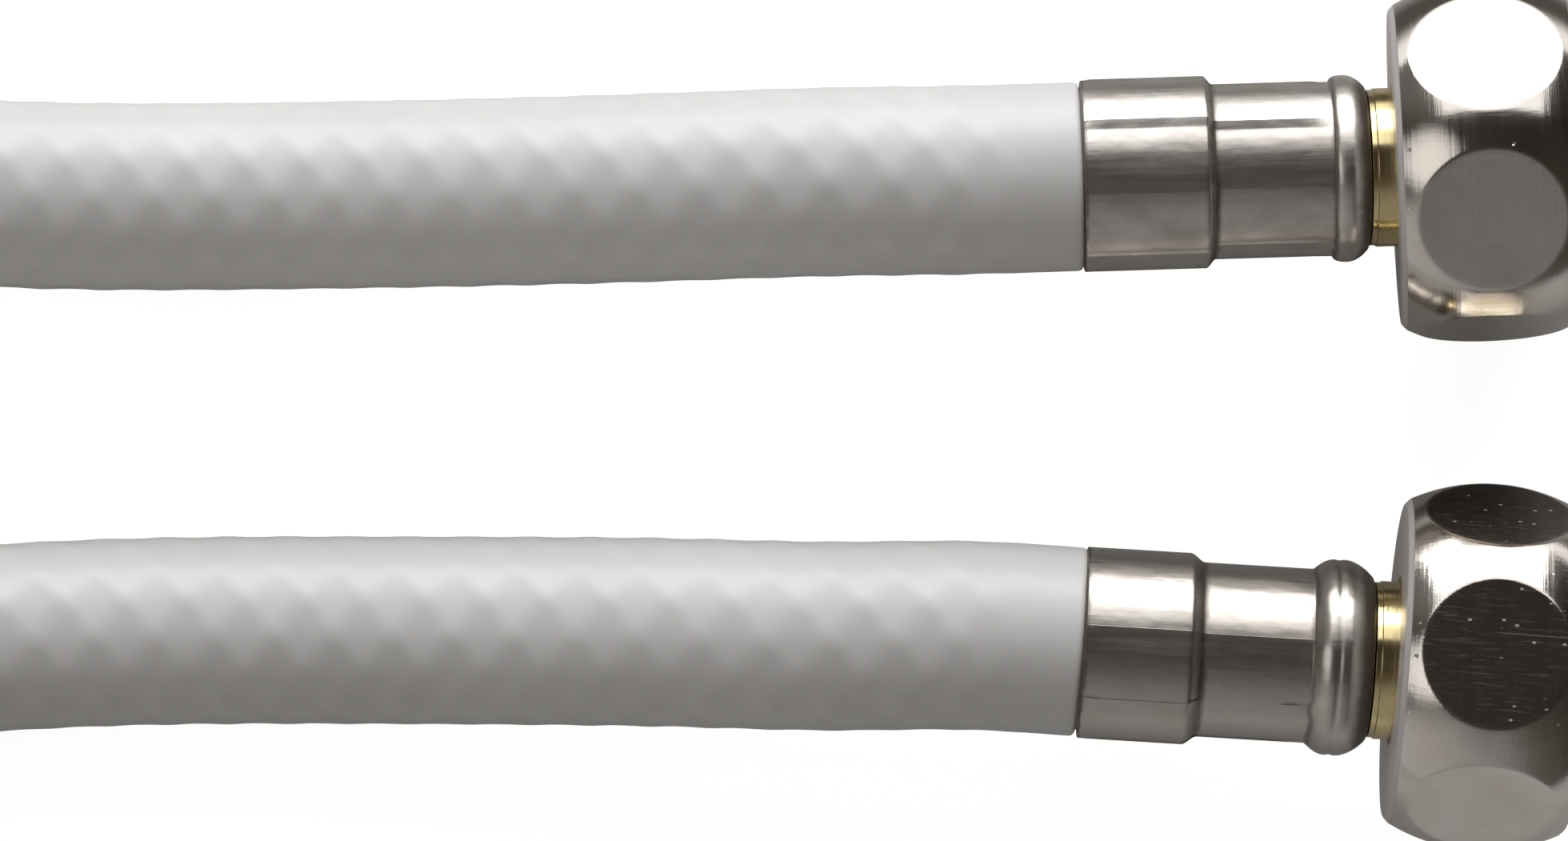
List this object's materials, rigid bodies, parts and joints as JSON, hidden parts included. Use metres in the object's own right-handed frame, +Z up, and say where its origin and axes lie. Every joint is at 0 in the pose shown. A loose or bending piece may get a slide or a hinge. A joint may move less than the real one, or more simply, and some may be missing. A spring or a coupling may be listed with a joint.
{
  "type": "connection hose",
  "caption": "Flexible water connection hose, smooth white cover, with a crimp ferrule, brass tail, flat seal and swivelling union nut at each end.",
  "frame": {"origin": "on the floor, midway between the two end fittings", "axes": "+X the way both fittings point, +Y from the front fitting to the back one, +Z up from the floor that the hose lies on"},
  "size_m": [0.2664, 0.1258, 0.0261],
  "materials": {
    "hose_cover": "smooth white soft plastic, satin gloss",
    "nickel": "nickel-plated brass, polished",
    "ferrule_steel": "bright stainless sheet, crimped",
    "brass": "turned brass",
    "seal_rubber": "matt black rubber"
  },
  "bodies": {
    "root": {"hose": "hose_cover", "back_ferrule": "ferrule_steel", "back_hose_tail": "brass", "back_flat_seal": "seal_rubber", "front_ferrule": "ferrule_steel", "front_hose_tail": "brass", "front_flat_seal": "seal_rubber"},
    "back_nut": {"back_union_nut": "nickel"},
    "front_nut": {"front_union_nut": "nickel"}
  },
  "joints": [
    {"name": "back_nut_turn", "type": "hinge", "parent": "root", "child": "back_nut", "pos_m": [0.00794, 0.01802, 0.01286], "axis": [0.9965, 0.0453, 0.0698], "continuous": true},
    {"name": "front_nut_turn", "type": "hinge", "parent": "root", "child": "front_nut", "pos_m": [0.00794, -0.01756, 0.01242], "axis": [0.9968, -0.0732, 0.0332], "continuous": true}
  ]
}
